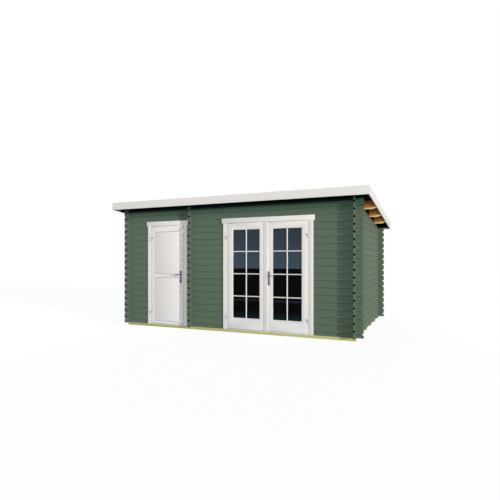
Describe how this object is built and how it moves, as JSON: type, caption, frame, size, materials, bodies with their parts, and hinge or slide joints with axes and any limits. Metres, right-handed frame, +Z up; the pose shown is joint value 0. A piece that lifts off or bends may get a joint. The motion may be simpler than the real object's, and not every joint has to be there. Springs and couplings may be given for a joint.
{
  "type": "garden house",
  "caption": "Log garden house with a pent roof, a store room behind a panelled door and a main room behind a glazed double door.",
  "frame": {"origin": "middle of the house at ground level, under the foundation beams", "axes": "+Z up; the front wall with the doors faces -Y and runs along X"},
  "size_m": [4.992, 3.404, 2.441],
  "materials": {
    "painted_logs": "sage green stain on planed softwood logs",
    "dark_beam": "dark green stain",
    "treated_timber": "pressure-treated pine, yellow green",
    "pine": "untreated planed pine",
    "white_timber": "satin warm white paint",
    "roof_felt": "mineral-surfaced bitumen felt",
    "glass": "clear float glass",
    "steel": "satin stainless steel"
  },
  "bodies": {
    "house": {"back_fascia": "white_timber", "back_plate": "dark_beam", "back_wall": "painted_logs", "double_door_head_and_threshold": "white_timber", "double_door_head_casing": "white_timber", "double_door_jambs": "white_timber", "double_door_side_casings": "white_timber", "floor_boards": "pine", "foundation_beams": "treated_timber", "frame_hinges": "steel", "front_fascia": "white_timber", "front_plate": "dark_beam", "front_wall_left": "painted_logs", "front_wall_middle": "painted_logs", "front_wall_right": "painted_logs", "front_wall_top": "painted_logs", "left_wall": "painted_logs", "partition_wall": "painted_logs", "purlins": "pine", "right_wall": "painted_logs", "roof_boards": "dark_beam", "roof_covering": "roof_felt", "side_fascias": "white_timber", "single_door_head_and_threshold": "white_timber", "single_door_head_casing": "white_timber", "single_door_jambs": "white_timber", "single_door_side_casings": "white_timber"},
    "single_leaf": {"single_leaf_frame": "white_timber", "single_leaf_hinges": "steel", "single_leaf_panels": "white_timber", "single_handle_plates": "steel"},
    "single_lever": {"single_lever": "steel"},
    "left_leaf": {"left_leaf_frame": "white_timber", "left_leaf_glass": "glass", "left_leaf_hinges": "steel", "left_leaf_meeting_bead": "white_timber"},
    "right_leaf": {"right_leaf_frame": "white_timber", "right_leaf_glass": "glass", "right_leaf_handle_plates": "steel", "right_leaf_hinges": "steel", "right_leaf_meeting_bead": "white_timber"},
    "right_lever": {"right_leaf_lever": "steel"}
  },
  "joints": [
    {"name": "single_door_hinge", "type": "hinge", "parent": "house", "child": "single_leaf", "pos_m": [-1.7035, -1.512, 1], "axis": [0, 0, -1], "range_deg": [0, 150]},
    {"name": "left_leaf_hinge", "type": "hinge", "parent": "house", "child": "left_leaf", "pos_m": [-0.0365, -1.512, 1], "axis": [0, 0, -1], "range_deg": [0, 150]},
    {"name": "right_leaf_hinge", "type": "hinge", "parent": "house", "child": "right_leaf", "pos_m": [1.4875, -1.512, 1], "axis": [0, 0, 1], "range_deg": [0, 150]},
    {"name": "single_lever_turn", "type": "hinge", "parent": "single_leaf", "child": "single_lever", "pos_m": [-1.013, -1.483, 1.02], "axis": [0, -1, 0], "range_deg": [0, 45], "stiffness_Nm_per_rad": 1, "springref_deg": -28.65},
    {"name": "right_lever_turn", "type": "hinge", "parent": "right_leaf", "child": "right_lever", "pos_m": [0.779, -1.483, 1.02], "axis": [0, 1, 0], "range_deg": [0, 45], "stiffness_Nm_per_rad": 1, "springref_deg": -28.65}
  ]
}
